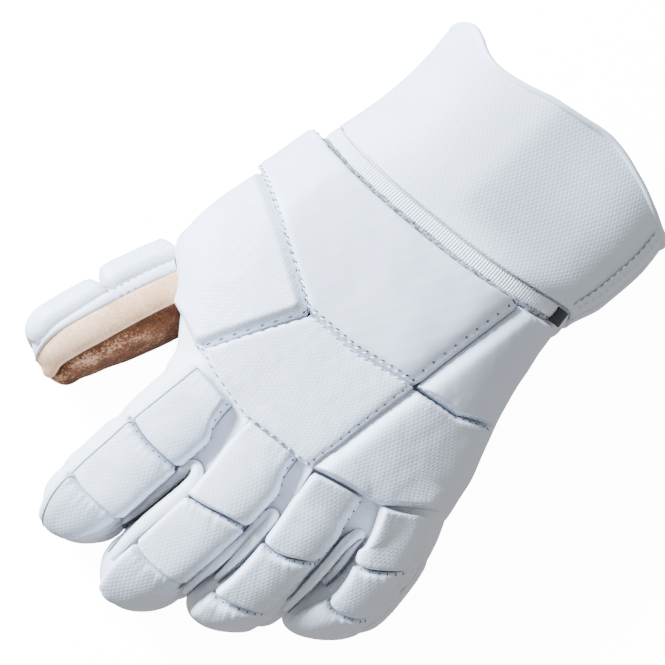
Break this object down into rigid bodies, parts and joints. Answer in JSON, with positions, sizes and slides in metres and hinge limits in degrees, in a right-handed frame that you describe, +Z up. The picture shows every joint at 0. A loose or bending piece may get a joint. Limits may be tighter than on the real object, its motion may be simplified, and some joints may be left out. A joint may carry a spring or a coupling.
{
  "type": "bandy glove",
  "caption": "Left-hand padded bandy glove in white leather with a wide cuff, a gathered wrist and a tan suede palm, lying palm down.",
  "frame": {"origin": "centre of the bounding box at its base, under the hand", "axes": "+Z up out of the back of the hand, +Y from the fingertips to the cuff, +X toward the little finger"},
  "size_m": [0.2102, 0.2998, 0.086],
  "materials": {
    "white_leather": "soft satin, fine pebble grain",
    "tan_suede": "matt napped suede",
    "white_elastic": "gathered",
    "black_elastic": "woven"
  },
  "bodies": {
    "root": {"hand_shell": "white_leather", "index_sleeve": "white_leather", "middle_sleeve": "white_leather", "ring_sleeve": "white_leather", "little_sleeve": "white_leather", "thumb_sleeve": "white_leather", "cuff": "white_leather", "back_pad": "white_leather", "side_pad": "white_leather", "thumb_base_pad": "white_leather", "knuckle_pad": "white_leather", "outer_knuckle_pad": "white_leather", "index_pad_1": "white_leather", "index_pad_2": "white_leather", "index_pad_3": "white_leather", "middle_pad_1": "white_leather", "middle_pad_2": "white_leather", "middle_pad_3": "white_leather", "ring_pad_1": "white_leather", "ring_pad_2": "white_leather", "ring_pad_3": "white_leather", "little_pad_1": "white_leather", "little_pad_2": "white_leather", "little_pad_3": "white_leather", "thumb_pad_1": "white_leather", "thumb_pad_2": "white_leather", "palm": "tan_suede", "thumb_palm": "tan_suede", "wrist_elastic": "white_elastic", "elastic_end": "black_elastic"}
  },
  "joints": []
}
